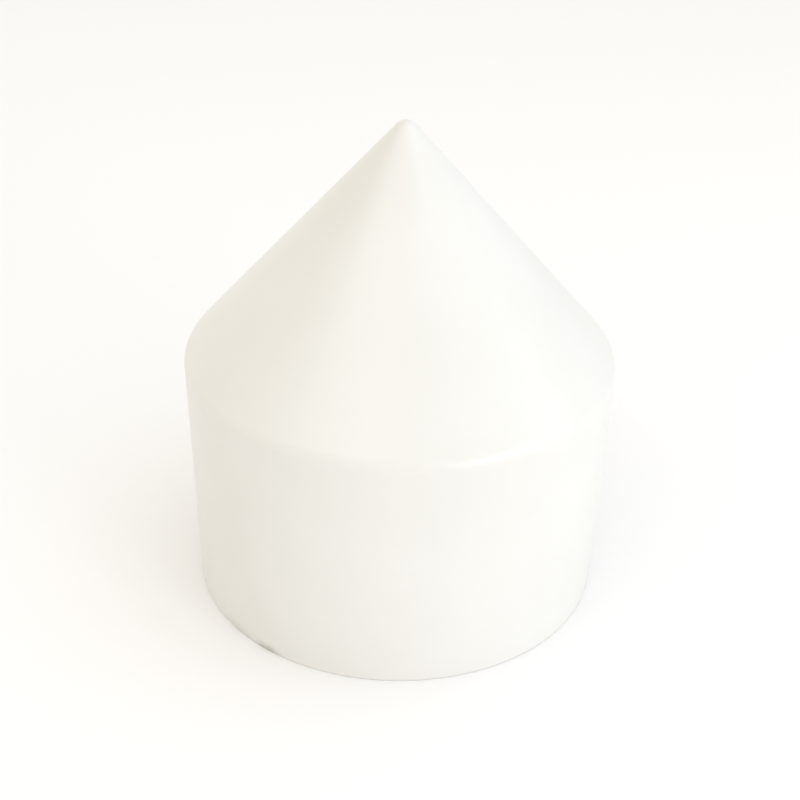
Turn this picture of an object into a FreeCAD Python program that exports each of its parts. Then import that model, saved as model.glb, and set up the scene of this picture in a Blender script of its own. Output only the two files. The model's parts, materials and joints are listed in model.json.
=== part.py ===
import FreeCAD, Part
import math
import os

import Sketcher
from FreeCAD import Vector

# A conical cap that slips over the head of a round mooring pile and sheds rain from its end grain.
# It is one wall of polyethylene sheet, drawn down hot over a mould. The nose touches the mould first and
# stays thick, and the skirt is stretched most, so the wall thins from the nose to the rim.
# The frame: origin at the middle of the rim's plane, +Z up the axis to the nose.

# Driving sizes, in millimetres and degrees.
SIZES = {
    "bore_diameter": 254.0,         # inside of the straight skirt, for piles up to ten inches across
    "bore_length": 149.5,           # of the straight bore, from the rim to where the shoulder starts
    "cone_slope": 48.0,             # of the cone's inside, above level
    "shoulder_inside_radius": 4.5,  # the mould's own shoulder
    "shoulder_outside_radius": 10.0,
    "nose_inside_radius": 2.5,      # the mould's own tip
    "wall_nose": 5.0,
    "wall_shoulder": 4.0,           # at the top of the bore and at the foot of the cone
    "wall_rim": 2.5,
    "rim_edge_radius": 0.5,         # the cut rim, with its burr scraped off
}
WIDEST_RIM_EDGE = 0.4               # share of the rim's wall that each of its two rounded edges may take

# The wall's half section, side by side in the order of drawing: up the outside and back down the inside.
SIDES = ["rim", "skirt_outside", "shoulder_outside", "cone_outside", "nose_outside",
         "axis", "nose_inside", "cone_inside", "shoulder_inside", "bore"]
SIDE = {name: number for number, name in enumerate(SIDES)}
START, END, CENTRE = 1, 2, 3        # how a constraint names the points of a line or an arc
CROSSWAYS, UPRIGHT = -1, -2         # how a constraint names the section's own two axes


def write_sheet(doc):
    """Put each driving size in a cell that bears its name."""
    sheet = doc.addObject("Spreadsheet::Sheet", "Sizes")
    for row, (name, value) in enumerate(SIZES.items(), start=1):
        sheet.set("A%d" % row, name)
        sheet.set("B%d" % row, str(value))
        sheet.setAlias("B%d" % row, name)
    doc.recompute()
    return sheet


def origin_plane(body, role):
    return next(plane for plane in body.Origin.OriginFeatures if plane.Role == role)


def draw_sides(section, sheet):
    """Draw the half section close to its final place, for the constraints to bring it true."""
    bore = sheet.bore_diameter / 2
    square_angle = math.radians(90 - sheet.cone_slope)
    square_to_cone = Vector(math.cos(square_angle), math.sin(square_angle), 0)
    square_to_skirt = Vector(1, 0, 0)
    up = Vector(0, 1, 0)

    def centre_of(skirt_face, cone_reach, radius):
        """Centre of a shoulder arc that touches an upright skirt and a cone at these distances out."""
        across = skirt_face - radius
        return Vector(across, (cone_reach - radius - square_to_cone.x * across) / square_to_cone.y, 0)

    def arc(centre, radius, first, last):
        return Part.ArcOfCircle(Part.Circle(centre, Vector(0, 0, 1), radius), first, last)

    inside_radius = sheet.shoulder_inside_radius
    outside_radius = sheet.shoulder_outside_radius
    inside = Vector(bore - inside_radius, sheet.bore_length, 0)
    cone_reach = square_to_cone.dot(inside) + inside_radius
    outside = centre_of(bore + sheet.wall_shoulder, cone_reach + sheet.wall_shoulder, outside_radius)
    nose = up * ((cone_reach - sheet.nose_inside_radius) / square_to_cone.y)
    nose_inside_radius = sheet.nose_inside_radius
    nose_outside_radius = nose_inside_radius + sheet.wall_nose

    rim_inside = Vector(bore, 0, 0)
    rim_outside = Vector(bore + sheet.wall_rim, 0, 0)
    sides = {
        "rim": Part.LineSegment(rim_inside, rim_outside),
        "skirt_outside": Part.LineSegment(rim_outside, outside + square_to_skirt * outside_radius),
        "shoulder_outside": arc(outside, outside_radius, 0, square_angle),
        "cone_outside": Part.LineSegment(outside + square_to_cone * outside_radius,
                                         nose + square_to_cone * nose_outside_radius),
        "nose_outside": arc(nose, nose_outside_radius, square_angle, math.pi / 2),
        "axis": Part.LineSegment(nose + up * nose_outside_radius, nose + up * nose_inside_radius),
        "nose_inside": arc(nose, nose_inside_radius, square_angle, math.pi / 2),
        "cone_inside": Part.LineSegment(nose + square_to_cone * nose_inside_radius,
                                        inside + square_to_cone * inside_radius),
        "shoulder_inside": arc(inside, inside_radius, 0, square_angle),
        "bore": Part.LineSegment(inside + square_to_skirt * inside_radius, rim_inside),
    }
    section.addGeometry([sides[name] for name in SIDES], False)


def tie_sides(section):
    """Join the sides end to end, smoothly at the arcs, and hold rim, axis and bore to the frame."""
    corners = [
        ("rim", END, "skirt_outside", START),
        ("nose_outside", END, "axis", START),
        ("axis", END, "nose_inside", END),
        ("bore", END, "rim", START),
        ("nose_outside", CENTRE, "nose_inside", CENTRE),
    ]
    smooth_joins = [
        ("skirt_outside", END, "shoulder_outside", START),
        ("shoulder_outside", END, "cone_outside", START),
        ("cone_outside", END, "nose_outside", START),
        ("nose_inside", START, "cone_inside", START),
        ("cone_inside", END, "shoulder_inside", END),
        ("shoulder_inside", START, "bore", START),
    ]
    on_axis = [("nose_outside", END), ("nose_inside", END), ("nose_inside", CENTRE)]
    for first, first_point, second, second_point in corners:
        section.addConstraint(Sketcher.Constraint("Coincident", SIDE[first], first_point,
                                                  SIDE[second], second_point))
    for first, first_point, second, second_point in smooth_joins:
        section.addConstraint(Sketcher.Constraint("Tangent", SIDE[first], first_point,
                                                  SIDE[second], second_point))
    for side, point in on_axis:
        section.addConstraint(Sketcher.Constraint("PointOnObject", SIDE[side], point, UPRIGHT))
    section.addConstraint(Sketcher.Constraint("PointOnObject", SIDE["rim"], START, CROSSWAYS))
    section.addConstraint(Sketcher.Constraint("Horizontal", SIDE["rim"]))
    section.addConstraint(Sketcher.Constraint("Vertical", SIDE["bore"]))


def size_sides(section, sheet):
    """Bind the section to the sheet: the mould's form inside, and the wall's thickness over it."""
    def measure(name, expression, kind, *ends):
        """Add one measure at its value now, and tie it to the sheet from then on."""
        number = section.addConstraint(Sketcher.Constraint(kind, *ends))
        section.renameConstraint(number, name)
        section.setExpression("Constraints." + name, expression)

    nose_outside = sheet.nose_inside_radius + sheet.wall_nose
    from_level = math.radians(180 - sheet.cone_slope)

    measure("bore_radius", "Sizes.bore_diameter / 2",
            "DistanceX", CROSSWAYS, START, SIDE["rim"], START, sheet.bore_diameter / 2)
    measure("bore_length", "Sizes.bore_length",
            "DistanceY", SIDE["bore"], END, SIDE["bore"], START, sheet.bore_length)
    measure("cone_slope", "180 deg - Sizes.cone_slope * 1 deg",
            "Angle", CROSSWAYS, START, SIDE["cone_inside"], END, from_level)
    measure("shoulder_inside", "Sizes.shoulder_inside_radius",
            "Radius", SIDE["shoulder_inside"], sheet.shoulder_inside_radius)
    measure("shoulder_outside", "Sizes.shoulder_outside_radius",
            "Radius", SIDE["shoulder_outside"], sheet.shoulder_outside_radius)
    measure("nose_inside", "Sizes.nose_inside_radius",
            "Radius", SIDE["nose_inside"], sheet.nose_inside_radius)
    measure("nose_outside", "Sizes.nose_inside_radius + Sizes.wall_nose",
            "Radius", SIDE["nose_outside"], nose_outside)
    measure("wall_at_bore", "Sizes.wall_shoulder",
            "Distance", SIDE["bore"], START, SIDE["skirt_outside"], sheet.wall_shoulder)
    measure("wall_at_cone", "Sizes.wall_shoulder",
            "Distance", SIDE["cone_inside"], END, SIDE["cone_outside"], sheet.wall_shoulder)
    measure("wall_rim", "Sizes.wall_rim",
            "DistanceX", SIDE["rim"], START, SIDE["rim"], END, sheet.wall_rim)


def rings(shape, radius, height):
    """The names of the shape's circles of this radius at this height."""
    near = 1e-3
    found = []
    for number, edge in enumerate(shape.Edges, start=1):
        if edge.Degenerated or not isinstance(edge.Curve, Part.Circle):
            continue
        ring = edge.Curve
        if abs(ring.Radius - radius) < near and abs(ring.Center.z - height) < near:
            found.append("Edge%d" % number)
    if not found:
        raise SystemExit("no ring of radius %.2f at height %.2f" % (radius, height))
    return found


def build_pile_cap(doc, sheet):
    """The whole cap: its wall turned about the axis, then the cut rim's two edges rounded."""
    body = doc.addObject("PartDesign::Body", "PileCap")
    body.Label = "pile_cap"

    section = body.newObject("Sketcher::SketchObject", "WallSection")
    section.AttachmentSupport = (origin_plane(body, "XZ_Plane"), [""])
    section.MapMode = "FlatFace"
    draw_sides(section, sheet)
    tie_sides(section)
    size_sides(section, sheet)
    doc.recompute()
    if not section.FullyConstrained:
        raise SystemExit("the wall's section isn't fully held")

    wall = body.newObject("PartDesign::Revolution", "Wall")
    wall.Profile = section
    wall.ReferenceAxis = (section, ["V_Axis"])
    wall.Angle = 360.0
    doc.recompute()

    bore = sheet.bore_diameter / 2
    rim_edges = body.newObject("PartDesign::Fillet", "RimEdges")
    rim_edges.Base = (wall, rings(wall.Shape, bore, 0) + rings(wall.Shape, bore + sheet.wall_rim, 0))
    rim_edges.setExpression("Radius", "min(Sizes.rim_edge_radius; %g * Sizes.wall_rim)" % WIDEST_RIM_EDGE)
    doc.recompute()
    return body


def check_and_write(doc, bodies):
    """Stop on any feature that failed or any shape that isn't one sound solid, then write the files."""
    for thing in doc.Objects:
        if "Invalid" in thing.State or "Error" in thing.State:
            raise SystemExit("%s failed: %s" % (thing.Name, thing.State))
    for body in bodies:
        shape = body.Shape
        if shape.isNull() or not shape.isValid() or len(shape.Solids) != 1:
            raise SystemExit(body.Label + " isn't one sound solid")
    os.makedirs("parts", exist_ok=True)
    for body in bodies:
        body.Shape.exportStep("parts/%s.step" % body.Label)
        box = body.Shape.optimalBoundingBox(False)
        print("%s: volume %.0f mm3, across %.2f mm, tall %.2f mm"
              % (body.Label, body.Shape.Volume, box.XLength, box.ZLength))


document = FreeCAD.newDocument("PileCapModel")
sizes = write_sheet(document)
cap = build_pile_cap(document, sizes)
check_and_write(document, [cap])
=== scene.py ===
import bpy
import json
import math
from mathutils import Matrix, Vector, noise


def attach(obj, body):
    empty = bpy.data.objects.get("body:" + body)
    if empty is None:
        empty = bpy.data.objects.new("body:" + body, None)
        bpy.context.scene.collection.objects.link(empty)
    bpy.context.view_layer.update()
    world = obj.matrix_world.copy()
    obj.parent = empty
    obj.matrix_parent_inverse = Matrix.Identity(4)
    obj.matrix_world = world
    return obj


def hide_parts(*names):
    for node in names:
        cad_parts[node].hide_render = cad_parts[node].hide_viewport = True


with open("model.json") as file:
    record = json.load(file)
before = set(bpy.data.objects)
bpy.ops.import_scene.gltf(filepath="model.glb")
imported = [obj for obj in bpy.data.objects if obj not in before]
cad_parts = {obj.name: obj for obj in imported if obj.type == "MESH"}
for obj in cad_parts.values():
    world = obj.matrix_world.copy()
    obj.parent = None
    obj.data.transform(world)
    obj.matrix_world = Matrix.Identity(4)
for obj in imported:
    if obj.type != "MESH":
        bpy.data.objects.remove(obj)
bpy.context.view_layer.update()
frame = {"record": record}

# The cap. One wall of white polyethylene sheet, drawn down hot over a mould and cut to length at the rim.
# The nose met the mould first and stayed thick, and the skirt was stretched thin. The inside took the
# mould's face, the outside cooled in air, and the thin skirt has sprung a little out of round.
MM = 0.001
pile_socket = next(mount for mount in frame["record"]["mounts"] if mount["name"] == "pile_socket")
BORE_RADIUS = pile_socket["dims"]["r_mm"] * MM
RIM_EDGE = 0.5 * MM
BORE_LENGTH = pile_socket["dims"]["length_mm"] * MM + RIM_EDGE
CONE_SLOPE = math.radians(48)
SHOULDER_INSIDE = 4.5 * MM
SHOULDER_OUTSIDE = 10.0 * MM
NOSE_INSIDE = 2.5 * MM
WALL_NOSE = 5.0 * MM
WALL_SHOULDER = 4.0 * MM
WALL_RIM = 2.5 * MM

AROUND = 384                    # points round the widest rings, halved as often as the rings get small
FINEST_STEP = 1.1 * MM          # along a ring, below which its points are halved
LEAST_AROUND = 24
ON_AXIS = FINEST_STEP / 10      # a ring smaller than this is one point
OUTSIDE_STEP = 2.8 * MM         # between the outside's rings, on its straight stretches
INSIDE_STEP = 7.0 * MM
HELD_STEP = 0.7 * MM            # the first and last step of a straight stretch, to hold the arc beside it
ARC_STEP = math.radians(6)
RIM_ARC_STEP = math.radians(22)

OVAL = (0.8 * MM, math.radians(102))            # the skirt's spring out of round, and where it stands out
THREE_SIDED = (0.9 * MM, math.radians(-25))
SPRING_TOP = BORE_LENGTH + 1.5 * SHOULDER_OUTSIDE
LONG_WAVE = (75 * MM, 0.16 * MM)                # width and depth of the unevenness left by cooling in air
SHORT_WAVE = (24 * MM, 0.035 * MM)
CUT_WANDER = (38 * MM, 0.2 * MM)                # width and height of the cut edge's straying from level
CUT_REACH = 6.0 * MM                            # how far up the wall that straying is felt

OUTSIDE, INSIDE, CUT = range(3)                 # the wall's finishes, as slots of its mesh


def facing(angle):
    """A step of length 1 that way."""
    return Vector((math.cos(angle), math.sin(angle)))


def tangent_square(lower, lower_radius, upper, upper_radius):
    """Angle of the square to the straight line that touches two circles on their outer side."""
    apart = lower - upper
    return math.atan2(apart.y, apart.x) + math.acos((upper_radius - lower_radius) / apart.length)


def touching_centre(first, first_reach, second, second_reach, radius):
    """Centre of a circle inside two lines that it touches, each known by its square and its reach."""
    p, q = first_reach - radius, second_reach - radius
    return Vector((p * second.y - q * first.y, q * first.x - p * second.x)) / first.cross(second)


def arc(centre, radius, first, last, step=ARC_STEP):
    """Points on a circle from one angle to another, both included."""
    steps = math.ceil(abs(last - first) / step)
    return [centre + radius * facing(first + (last - first) * k / steps) for k in range(steps + 1)]


def joined(arcs, step):
    """One run of points through the given arcs and the straight stretches between them."""
    points = list(arcs[0])
    for following in arcs[1:]:
        held = (following[0] - points[-1]).normalized() * HELD_STEP
        start, end = points[-1] + held, following[0] - held
        steps = round((end - start).length / step)
        points += [start.lerp(end, k / steps) for k in range(steps + 1)] + following
    return points


def wall_section():
    """The wall's half section, down the outside and up the inside, as a run of points for each finish."""
    up, down, inwards = math.pi / 2, -math.pi / 2, -math.pi
    bore_top = Vector((BORE_RADIUS, BORE_LENGTH))
    shoulder_inside = bore_top - Vector((SHOULDER_INSIDE, 0))
    cone_inside = up - CONE_SLOPE
    cone_foot = shoulder_inside + SHOULDER_INSIDE * facing(cone_inside)
    nose = Vector((0, (facing(cone_inside).dot(cone_foot) - NOSE_INSIDE) / facing(cone_inside).y))
    nose_outside = NOSE_INSIDE + WALL_NOSE

    rim_corner = Vector((BORE_RADIUS + WALL_RIM, 0))
    skirt = tangent_square(rim_corner, 0, bore_top, WALL_SHOULDER)
    cone = tangent_square(cone_foot, WALL_SHOULDER, nose, nose_outside)
    skirt_reach = facing(skirt).dot(rim_corner)
    cone_reach = facing(cone).dot(nose) + nose_outside
    shoulder = touching_centre(facing(skirt), skirt_reach, facing(cone), cone_reach, SHOULDER_OUTSIDE)
    edge_outside = touching_centre(facing(down), 0, facing(skirt), skirt_reach, RIM_EDGE)
    edge_inside = Vector((BORE_RADIUS + RIM_EDGE, RIM_EDGE))

    cut = (arc(edge_outside, RIM_EDGE, skirt, down, RIM_ARC_STEP)
           + arc(edge_inside, RIM_EDGE, down, inwards, RIM_ARC_STEP))
    outside = joined([arc(nose, nose_outside, up, cone), arc(shoulder, SHOULDER_OUTSIDE, cone, skirt),
                      cut[:1]], OUTSIDE_STEP)
    inside = joined([cut[-1:], arc(shoulder_inside, SHOULDER_INSIDE, 0, cone_inside),
                     arc(nose, NOSE_INSIDE, cone_inside, up)], INSIDE_STEP)
    return [(OUTSIDE, outside), (CUT, cut), (INSIDE, inside)]


def uneven(angle, radius, height):
    """Where a point of the wall really lies. Both its faces move alike, so it keeps its thickness."""
    across = facing(angle).to_3d()
    place = across * radius + Vector((0, 0, height))
    spring = max(0.0, 1 - height / SPRING_TOP)
    bulge = sum(spring * amount * math.cos(sides * (angle - widest))
                for sides, (amount, widest) in ((2, OVAL), (3, THREE_SIDED)))
    bulge += sum(depth * noise.noise(place / width) for width, depth in (LONG_WAVE, SHORT_WAVE))
    near_cut = max(0.0, 1 - height / CUT_REACH)
    width, most = CUT_WANDER
    lift = near_cut * most * (0.5 + 0.5 * noise.noise(across * BORE_RADIUS / width))
    return place + across * bulge * min(1.0, radius / SHOULDER_OUTSIDE) + Vector((0, 0, lift))


def add_ring(vertices, radius, height):
    """One ring of the wall's points, or its single point on the axis. Returns their numbers."""
    count = AROUND
    while count > LEAST_AROUND and 2 * math.pi * radius / count < FINEST_STEP:
        count //= 2
    if radius < ON_AXIS:
        count = 1
    first = len(vertices)
    vertices.extend(uneven(2 * math.pi * k / count, radius, height) for k in range(count))
    return range(first, first + count)


def band(upper, lower):
    """The faces between two rings. One of them may have half the other's points, or be a single point."""
    parts = min(len(upper), len(lower))
    if parts == 1:
        parts = max(len(upper), len(lower))

    def stretch(ring, k):
        each = len(ring) // parts
        return [ring[j % len(ring)] for j in range(k * each, (k + 1) * each + 1)] if each else [ring[0]]

    return [stretch(upper, k)[::-1] + stretch(lower, k) for k in range(parts)]


def cap_mesh():
    """The wall turned about its axis, as one closed mesh."""
    vertices, faces, finishes = [], [], []
    last_ring = None
    for finish, points in wall_section():
        for point in points[1:] if last_ring else points:
            ring = add_ring(vertices, point.x, point.y)
            if last_ring:
                new_faces = band(last_ring, ring)
                faces += new_faces
                finishes += [finish] * len(new_faces)
            last_ring = ring
    mesh = bpy.data.meshes.new("pile_cap_wall")
    mesh.from_pydata(vertices, [], faces)
    mesh.polygons.foreach_set("material_index", finishes)
    mesh.shade_smooth()
    return mesh


cap = bpy.data.objects.new("pile_cap_wall", cap_mesh())
bpy.context.scene.collection.objects.link(cap)
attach(cap, "root")
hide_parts("pile_cap")

# The finish of the cap's wall. The polyethylene set a little unevenly, so its white is faintly cloudy.
# Outside it is semi-gloss with faint lines down which it was drawn, inside it has the mould's even matt
# texture, and the sawn rim is rough. Handling has left fine rubs, and the ground some dirt at the rim.
# A smudge and faint trail of painted shadow darken the rim's front left, where its shadow meets the floor.
POLYETHYLENE_IOR = 1.54
THICK_TONE = (0.730, 0.715, 0.681, 1)
THIN_TONE = (0.711, 0.695, 0.658, 1)
# Dark olive, for the dirt at the rim and for the painted shadow at its front left.
DIRT_AND_SHADOW_TONE = (0.20, 0.19, 0.12, 1)
DIRT_AND_SHADOW_DULLS = 0.4                        # how much rougher the dirt and the painted shadow make the wall
RUB_SLANT = (0.5, 0.9, 0.2)             # which way the rubs run, and what makes them longer than wide
RUB_SHAPE = (1, 1, 0.12)
# Two patches of painted shadow on the rim's front left, where the cap's shadow meets the floor: where round
# it from +X, how far to either side of that, and how high up.
PAINTED_SHADOW_SMUDGE = (math.radians(-125.5), math.radians(8), 6.0 * MM)
PAINTED_SHADOW_TRAIL = (math.radians(-136), math.radians(12), 8.5 * MM)
SHADOW_ENDS, SHADOW_THICKEST = 1.45, 0.55  # as shares of that reach, with the specks added


def new_group(name, inputs, outputs):
    """An empty shader node group and its two ends inside. An input given as four numbers is a colour."""
    group = bpy.data.node_groups.new(name, "ShaderNodeTree")
    for label, value in inputs.items():
        kind = "NodeSocketColor" if isinstance(value, tuple) else "NodeSocketFloat"
        group.interface.new_socket(label, in_out="INPUT", socket_type=kind).default_value = value
    for label, kind in outputs.items():
        group.interface.new_socket(label, in_out="OUTPUT", socket_type=kind)
    return group, group.nodes.new("NodeGroupInput").outputs, group.nodes.new("NodeGroupOutput").inputs


def feed(tree, socket, value):
    """Set an input to a plain value, or link it to another node's output."""
    if isinstance(value, bpy.types.NodeSocket):
        tree.links.new(value, socket)
    else:
        socket.default_value = value


def node(tree, kind, inputs, **settings):
    """A new node with its settings and inputs. An input is named by its label or its place."""
    made = tree.nodes.new("ShaderNode" + kind)
    for name, value in settings.items():
        setattr(made, name, value)
    for name, value in inputs.items():
        feed(tree, made.inputs[name], value)
    return made


def worked(tree, operation, first, second=0.0):
    """The result of one sum on two values."""
    return node(tree, "Math", {0: first, 1: second}, operation=operation).outputs[0]


def ramp(tree, value, low, high):
    """A smooth change from 0 to 1 while the value goes from low to high."""
    return node(tree, "MapRange", {"Value": value, "From Min": low, "From Max": high},
                interpolation_type="SMOOTHSTEP").outputs["Result"]


def mottle(tree, place, width, detail, batch=0.0):
    """Cloudy noise from 0 to 1, with blotches of about this width. Another batch gives other blotches."""
    return node(tree, "TexNoise", {"Vector": place, "W": batch, "Scale": worked(tree, "DIVIDE", 1.0, width),
                                   "Detail": detail}, noise_dimensions="4D").outputs["Fac"]


def blended(tree, factor, first, second):
    """A colour between two others."""
    mix = node(tree, "Mix", {"Factor": factor}, data_type="RGBA")
    feed(tree, mix.inputs["A"], first)
    feed(tree, mix.inputs["B"], second)
    return mix.outputs["Result"]


def place_on_cap(tree):
    """Where on the cap a point is, whole and as its three parts."""
    place = node(tree, "TexCoord", {}).outputs["Object"]
    return place, node(tree, "SeparateXYZ", {"Vector": place}).outputs


def cloudy_white_group():
    """White plastic whose tone drifts a little, as its thickness and its cooling did."""
    group, given, result = new_group(
        "cloudy_white", {"Thick": THICK_TONE, "Thin": THIN_TONE, "Cloud Width": 75 * MM, "Sheet": 14.0},
        {"Color": "NodeSocketColor"})
    place, _ = place_on_cap(group)
    clouds = mottle(group, place, given["Cloud Width"], detail=4, batch=given["Sheet"])
    cloudy = ramp(group, clouds, low=0.32, high=0.68)
    feed(group, result["Color"], blended(group, cloudy, given["Thin"], given["Thick"]))
    return group


def drawn_skin_group():
    """The height of a drawn sheet's skin: a fine grain, and faint lines that run down the wall."""
    group, given, result = new_group(
        "drawn_skin", {"Grain Width": 1.2 * MM, "Grain Depth": 0.004 * MM,
                       "Line Width": 5 * MM, "Line Length": 90 * MM, "Line Depth": 0.01 * MM},
        {"Height": "NodeSocketFloat"})
    place, (x, y, z) = place_on_cap(group)
    flat = node(group, "CombineXYZ", {"X": x, "Y": y}).outputs[0]
    across = node(group, "VectorMath", {0: flat}, operation="NORMALIZE").outputs[0]
    round_bore = node(group, "VectorMath", {0: across, "Scale": BORE_RADIUS}, operation="SCALE").outputs[0]
    shortening = worked(group, "DIVIDE", given["Line Width"], given["Line Length"])
    down_wall = node(group, "CombineXYZ", {"Z": worked(group, "MULTIPLY", z, shortening)}).outputs[0]
    unrolled = node(group, "VectorMath", {0: round_bore, 1: down_wall}, operation="ADD").outputs[0]
    lines = mottle(group, unrolled, given["Line Width"], detail=3)
    grain = mottle(group, place, given["Grain Width"], detail=1)
    feed(group, result["Height"], worked(group, "ADD", worked(group, "MULTIPLY", lines, given["Line Depth"]),
                                         worked(group, "MULTIPLY", grain, given["Grain Depth"])))
    return group


def rubs_group():
    """Where handling has dulled the skin, as a mask: short fine rubs, gathered in patches."""
    group, given, result = new_group(
        "rubs", {"Rub Width": 1.6 * MM, "Patch Width": 70 * MM, "Amount": 0.5}, {"Mask": "NodeSocketFloat"})
    place, _ = place_on_cap(group)
    along = node(group, "Mapping", {"Vector": place, "Rotation": RUB_SLANT, "Scale": RUB_SHAPE}).outputs[0]
    rubs = ramp(group, mottle(group, along, given["Rub Width"], detail=2), low=0.60, high=0.72)
    patches = ramp(group, mottle(group, place, given["Patch Width"], detail=2), low=0.42, high=0.66)
    patchy = worked(group, "MULTIPLY", rubs, patches)
    feed(group, result["Mask"], worked(group, "MULTIPLY", patchy, given["Amount"]))
    return group


def rim_dirt_and_shadow_group():
    """Rim darkening as a mask: an uneven line of dirt picked up where it stood, a painted shadow and its
    trail.
    """
    group, given, result = new_group(
        "rim_dirt_and_painted_shadow", {"Height": 2 * MM, "Amount": 0.05, "Painted Shadow Amount": 0.45, "Shadow Trail Share": 0.42,
                     "Speck Width": 7 * MM}, {"Mask": "NodeSocketFloat"})
    place, (x, y, z) = place_on_cap(group)
    specks = mottle(group, place, given["Speck Width"], detail=5)
    uneven_height = worked(group, "MULTIPLY", given["Height"], worked(group, "ADD", specks, 0.5))
    line = worked(group, "MULTIPLY", ramp(group, z, low=uneven_height, high=0.0), given["Amount"])
    round_rim = worked(group, "ARCTAN2", y, x)

    # A patch of painted shadow round one place on the rim, fading out with the specks.
    def shadow_smear(middle, reach_round, reach_up):
        turned = worked(group, "SUBTRACT", round_rim, middle)
        aside = worked(group, "POWER", worked(group, "DIVIDE", turned, reach_round), 2)
        above = worked(group, "POWER", worked(group, "DIVIDE", z, reach_up), 2)
        apart = worked(group, "SQRT", worked(group, "ADD", aside, above))
        return ramp(group, worked(group, "ADD", apart, specks), low=SHADOW_ENDS, high=SHADOW_THICKEST)

    shadow_trail = worked(group, "MULTIPLY", shadow_smear(*PAINTED_SHADOW_TRAIL), given["Shadow Trail Share"])
    shadow_smears = worked(group, "MAXIMUM", shadow_smear(*PAINTED_SHADOW_SMUDGE), shadow_trail)
    feed(group, result["Mask"], worked(group, "MAXIMUM", line,
                                       worked(group, "MULTIPLY", shadow_smears, given["Painted Shadow Amount"])))
    return group


CLOUDY_WHITE = cloudy_white_group()
DRAWN_SKIN = drawn_skin_group()
RUBS = rubs_group()
RIM_DIRT_AND_SHADOW = rim_dirt_and_shadow_group()


def wall_finish(name, roughness, rubbed_roughness, tone, skin, rubs, dirt_and_shadow):
    """One finish of the wall. The last four say what its effects have of their own."""
    material = bpy.data.materials.new(name)
    material.use_nodes = True
    tree = material.node_tree

    def effect(group, values):
        placed = node(tree, "Group", {}, node_tree=group)
        for label, value in values.items():
            feed(tree, placed.inputs[label], value)
        return placed.outputs[0]

    # This mask holds the dirt at the rim and the painted shadow at its front left, which darken the base
    # colour.
    dirt_and_shadow_mask = effect(RIM_DIRT_AND_SHADOW, dirt_and_shadow)
    rubbed = worked(tree, "MULTIPLY", effect(RUBS, rubs), rubbed_roughness - roughness)
    dulled = worked(tree, "ADD", rubbed, worked(tree, "MULTIPLY", dirt_and_shadow_mask, DIRT_AND_SHADOW_DULLS))
    bump = node(tree, "Bump", {"Height": effect(DRAWN_SKIN, skin), "Distance": 1.0})
    shader = tree.nodes["Principled BSDF"]
    feed(tree, shader.inputs["Base Color"], blended(tree, dirt_and_shadow_mask, effect(CLOUDY_WHITE, tone), DIRT_AND_SHADOW_TONE))
    feed(tree, shader.inputs["Roughness"], worked(tree, "ADD", dulled, roughness))
    feed(tree, shader.inputs["Normal"], bump.outputs["Normal"])
    shader.inputs["IOR"].default_value = POLYETHYLENE_IOR
    return material


# Each finish's dirt settings also give its share of painted shadow at the rim's front left; the inside has
# none.
cap.data.materials.append(wall_finish(
    "formed_outside", roughness=0.28, rubbed_roughness=0.40, tone={}, skin={}, rubs={}, dirt_and_shadow={}))
cap.data.materials.append(wall_finish(
    "moulded_inside", roughness=0.50, rubbed_roughness=0.55, tone={"Cloud Width": 90 * MM},
    skin={"Grain Width": 0.7 * MM, "Grain Depth": 0.02 * MM, "Line Depth": 0.02 * MM}, rubs={"Amount": 0.3},
    dirt_and_shadow={"Height": 9 * MM, "Amount": 0.4, "Painted Shadow Amount": 0.0}))
cap.data.materials.append(wall_finish(
    "cut_rim", roughness=0.55, rubbed_roughness=0.70, tone={"Cloud Width": 20 * MM},
    skin={"Line Width": 0.6 * MM, "Line Depth": 0.03 * MM}, rubs={"Amount": 0.8},
    dirt_and_shadow={"Amount": 0.12, "Painted Shadow Amount": 0.6}))

# The floor. A plain round board in matt white paint, on which the cap stands. It is wide enough to fill the
# camera's view.
FLOOR_RADIUS = 1.9
FLOOR_CORNERS = 96
FLOOR_TONE = (0.894, 0.885, 0.882, 1)
FLOOR_ROUGHNESS = 0.8
floor_mesh = bpy.data.meshes.new("floor")
floor_mesh.from_pydata([FLOOR_RADIUS * facing(math.tau * k / FLOOR_CORNERS).to_3d()
                        for k in range(FLOOR_CORNERS)], [], [range(FLOOR_CORNERS)])
floor = bpy.data.objects.new("floor", floor_mesh)
bpy.context.scene.collection.objects.link(floor)
floor_board = bpy.data.materials.new("floor_board")
floor_board.use_nodes = True
floor_shader = floor_board.node_tree.nodes["Principled BSDF"]
floor_shader.inputs["Base Color"].default_value = FLOOR_TONE
floor_shader.inputs["Roughness"].default_value = FLOOR_ROUGHNESS
floor.data.materials.append(floor_board)

# The camera. It stands two thirds of a metre in front of the cap's axis and higher than its tip, looks down
# on it, and is tilted a little.
CAMERA_BACK = 0.6760
CAMERA_HEIGHT = 0.5267
CAMERA_SENSOR = 36                      # millimetres, as the lens is
CAMERA_LENS = 56.74
CAMERA_TURN = math.radians(0.05)
CAMERA_DOWN = math.radians(31.364)
CAMERA_TILT = math.radians(1.523)
camera = bpy.data.objects.new("camera", bpy.data.cameras.new("camera"))
camera.data.sensor_width = CAMERA_SENSOR
camera.data.lens = CAMERA_LENS
camera.matrix_world = (Matrix.Translation((0, -CAMERA_BACK, CAMERA_HEIGHT))
                       @ Matrix.Rotation(-CAMERA_TURN, 4, "Z")
                       @ Matrix.Rotation(math.pi / 2 - CAMERA_DOWN, 4, "X")
                       @ Matrix.Rotation(CAMERA_TILT, 4, "Z"))
bpy.context.scene.collection.objects.link(camera)
bpy.context.scene.camera = camera

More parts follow.
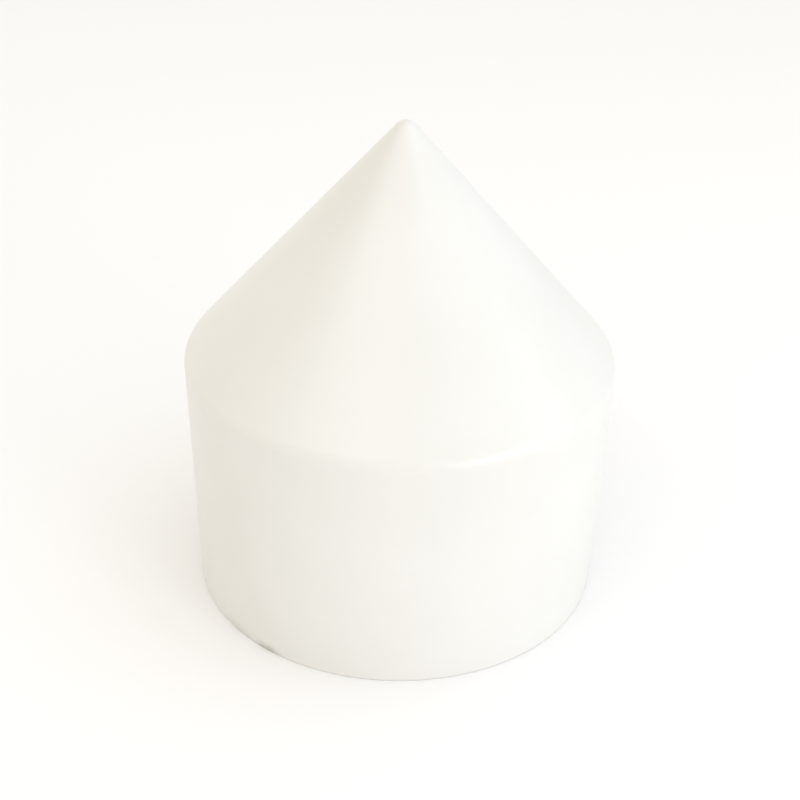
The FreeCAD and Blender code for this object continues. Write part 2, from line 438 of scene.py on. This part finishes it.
# The studio. A pale room, a little warm on the left and cooler on the right, and four softboxes two metres
# off: the key low on the camera's right, a dim wide one like a window past it, one high on the left, and
# a large dim one overhead.
ROOM_LEFT = (1.052, 0.99, 0.867, 1)
ROOM_RIGHT = (0.974, 1.024, 1.072, 1)
LIT_POINT = Vector((0, 0, 0.12))
LIGHTS_AWAY = 2.0
OFF_FLOOR = 0.01                        # the least gap under a softbox


def softbox(name, aside, rise, width, height, radiance):
    """An oblong soft light that faces the cap. Its radiance is what its face sends out of each colour."""
    data = bpy.data.lights.new(name, "AREA")
    data.shape = "RECTANGLE"
    data.size, data.size_y = width, height
    data.energy = max(radiance) * math.pi * width * height
    data.color = [part / max(radiance) for part in radiance]
    towards = Vector((math.sin(aside) * math.cos(rise), -math.cos(aside) * math.cos(rise), math.sin(rise)))
    light = bpy.data.objects.new(name, data)
    light.location = LIT_POINT + towards * LIGHTS_AWAY
    light.location.z = max(light.location.z, OFF_FLOOR + height / 2 * math.cos(rise))
    light.rotation_euler = towards.to_track_quat("Z", "Y").to_euler()
    light.visible_camera = False
    bpy.context.scene.collection.objects.link(light)


softbox("key_softbox", aside=math.radians(46.5), rise=math.radians(2), width=0.85, height=0.8,
        radiance=(4.94, 5.20, 5.60))
softbox("window_softbox", aside=math.radians(78), rise=math.radians(28), width=1.1, height=0.42,
        radiance=(0.70, 0.70, 0.80))
softbox("fill_softbox", aside=math.radians(-37), rise=math.radians(50), width=1.5, height=0.68,
        radiance=(0.98, 0.96, 0.98))
softbox("top_softbox", aside=math.radians(84), rise=math.radians(67), width=1.4, height=1.6,
        radiance=(0.38, 0.40, 0.43))

world = bpy.data.worlds.new("studio")
world.use_nodes = True
room = world.node_tree
direction = node(room, "TexCoord", {}).outputs["Generated"]
rightwards = node(room, "SeparateXYZ", {"Vector": direction}).outputs["X"]
to_right = node(room, "MapRange", {"Value": rightwards, "From Min": -1.0, "From Max": 1.0}).outputs["Result"]
feed(room, room.nodes["Background"].inputs["Color"], blended(room, to_right, ROOM_LEFT, ROOM_RIGHT))
bpy.context.scene.world = world
bpy.context.scene.view_settings.view_transform = "Standard"
